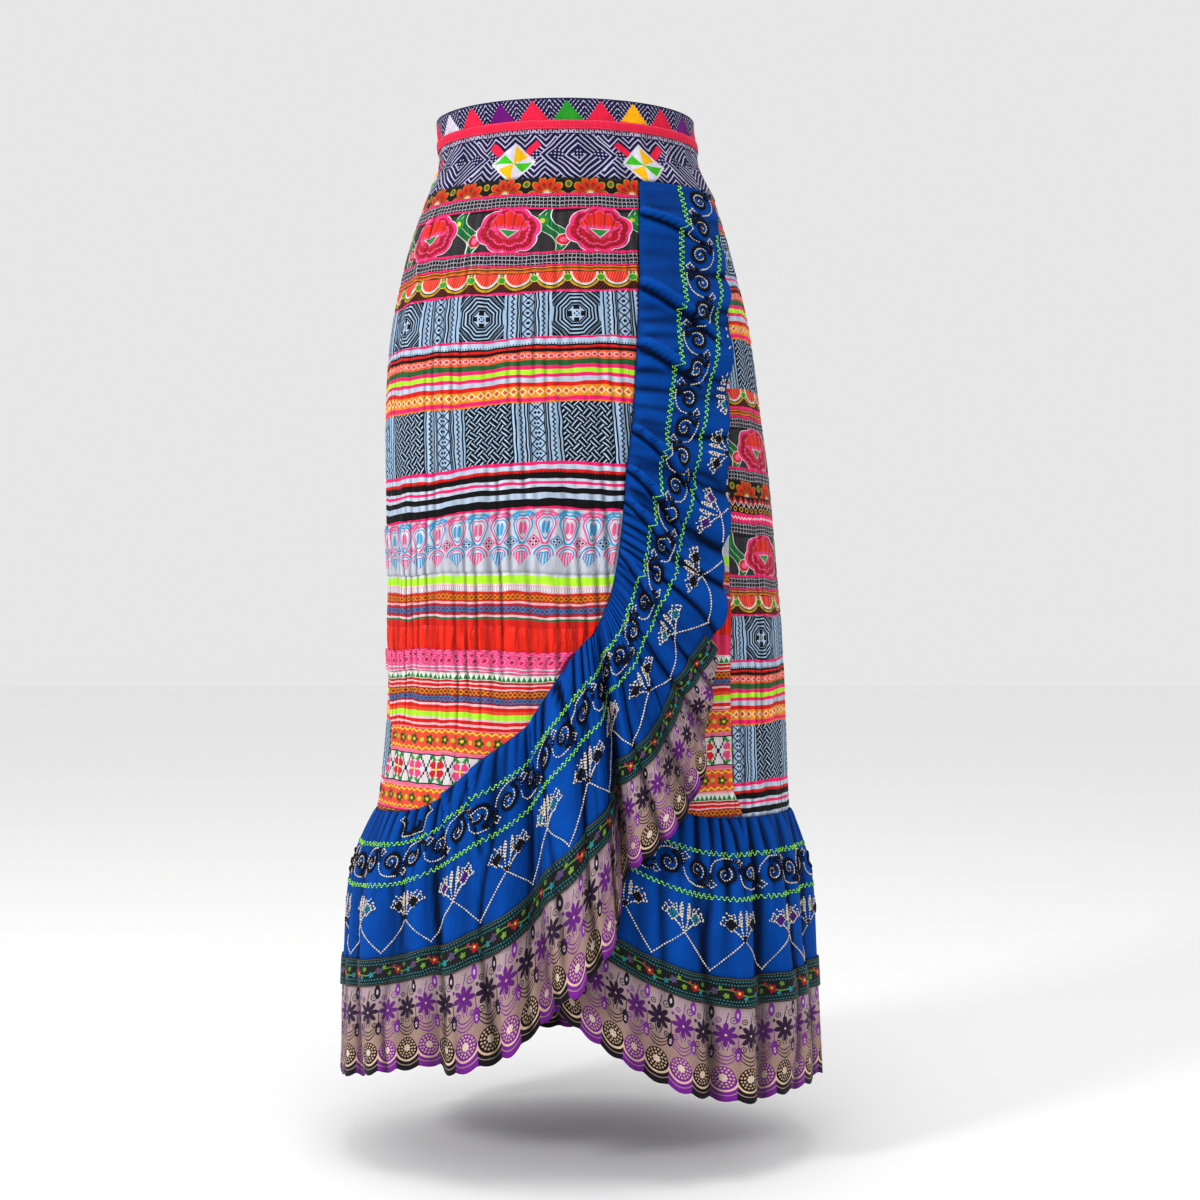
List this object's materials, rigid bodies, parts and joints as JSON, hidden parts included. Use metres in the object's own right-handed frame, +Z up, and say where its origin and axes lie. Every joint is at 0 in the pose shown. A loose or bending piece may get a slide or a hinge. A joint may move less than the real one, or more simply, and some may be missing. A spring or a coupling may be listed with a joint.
{
  "type": "hmong skirt",
  "caption": "Long patchwork wrap skirt, hollow as worn, with a waistband, level bands of batik, ribbon and lace, and an embroidered, lace-edged flounce down the wrap and round the hem.",
  "frame": {"origin": "middle of the waist opening, level with the waistband's top edge, where the wearer's waist holds the skirt", "axes": "+Z up, front of the skirt faces -Y, +X is the viewer's right"},
  "size_m": [0.4568, 0.3437, 0.897],
  "materials": {
    "indigo_batik": "cloth",
    "ribbon_pink": "cloth",
    "patchwork": "cloth",
    "lace_pale": "cloth",
    "lace_pink": "cloth",
    "blue_cotton": "cloth",
    "net_lace": "cloth",
    "beaded_ribbon": "cloth"
  },
  "bodies": {
    "root": {"waistband": "indigo_batik", "waistband_ribbon": "ribbon_pink", "overlap_panel": "patchwork", "underlap_panel": "patchwork", "back_panel": "patchwork", "eyelet_lace": "lace_pale", "pink_lace": "lace_pink", "front_flounce_cloth": "blue_cotton", "front_flounce_lace": "net_lace", "front_flounce_ribbon": "beaded_ribbon", "back_flounce_cloth": "blue_cotton", "back_flounce_lace": "net_lace", "back_flounce_ribbon": "beaded_ribbon", "underlap_flounce_cloth": "blue_cotton", "underlap_flounce_lace": "net_lace", "underlap_flounce_ribbon": "beaded_ribbon"}
  },
  "joints": []
}
